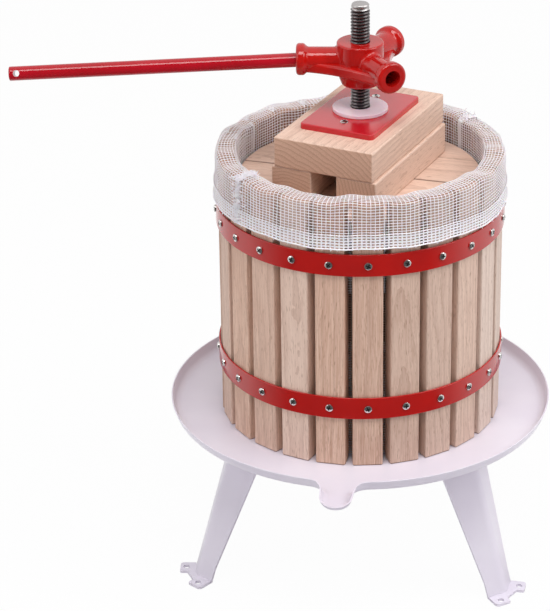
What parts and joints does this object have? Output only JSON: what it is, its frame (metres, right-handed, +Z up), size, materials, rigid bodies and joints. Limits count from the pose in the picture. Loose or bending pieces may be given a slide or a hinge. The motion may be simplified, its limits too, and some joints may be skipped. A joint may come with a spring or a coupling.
{
  "type": "manual fruit press",
  "caption": "Hand-turned fruit press: slatted wooden basket with a net bag on a legged steel juice tray, its disc and blocks pushed down a threaded spindle by a cast nut and lever.",
  "frame": {"origin": "on the floor plane under the feet, on the spindle's axis", "axes": "+Z up along the spindle, -Y towards the pouring spout, +X to the right seen from the spout"},
  "size_m": [0.565, 0.4539, 0.631],
  "materials": {
    "white_paint": "smooth white stove enamel",
    "red_paint": "red gloss enamel",
    "red_casting": "red gloss enamel on a casting",
    "zinc_steel": "zinc plated",
    "spindle_steel": "dark oiled steel",
    "bright_screws": "bright plated",
    "beech": "bare planed beech",
    "nylon": "milky nylon",
    "net": "white open net"
  },
  "bodies": {
    "stand": {"tray": "white_paint", "leg_left": "white_paint", "leg_right": "white_paint", "leg_back": "white_paint", "leg_bolts": "zinc_steel", "leg_nuts": "zinc_steel", "stiffener_plate": "white_paint", "spindle": "spindle_steel", "clamp_washers": "zinc_steel", "clamp_nuts": "zinc_steel", "stave_01": "beech", "stave_02": "beech", "stave_03": "beech", "stave_04": "beech", "stave_05": "beech", "stave_06": "beech", "stave_07": "beech", "stave_08": "beech", "stave_09": "beech", "stave_10": "beech", "stave_11": "beech", "stave_12": "beech", "stave_13": "beech", "stave_14": "beech", "stave_15": "beech", "stave_16": "beech", "stave_17": "beech", "stave_18": "beech", "stave_19": "beech", "stave_20": "beech", "stave_21": "beech", "stave_22": "beech", "stave_23": "beech", "stave_24": "beech", "lower_band": "red_paint", "upper_band": "red_paint", "lower_band_screws": "bright_screws", "upper_band_screws": "bright_screws", "press_bag": "net"},
    "press_stack": {"disc_board_1": "beech", "disc_board_2": "beech", "disc_board_3": "beech", "disc_board_4": "beech", "rail_left": "beech", "rail_right": "beech", "pressure_block": "beech", "pressure_plate": "red_paint", "plate_screws": "bright_screws", "thrust_washer": "nylon"},
    "nut": {"press_nut": "red_casting"},
    "lever": {"lever_bar": "red_paint"}
  },
  "joints": [
    {"name": "press_travel", "type": "slide", "parent": "stand", "child": "press_stack", "axis": [0, 0, 1], "range_m": [-0.0701, 0.0281]},
    {"name": "nut_turn", "type": "hinge", "parent": "press_stack", "child": "nut", "pos_m": [0, 0, 0.5435], "axis": [0, 0, 1], "range_deg": [-7200, 2880]},
    {"name": "lever_slide", "type": "slide", "parent": "nut", "child": "lever", "axis": [-0.9931, -0.1044, -0.0528], "range_m": [0, 0.03]}
  ],
  "couplings": [
    {"joint": "press_travel", "follows": "nut_turn", "m_per_rad": 0.00055704}
  ]
}
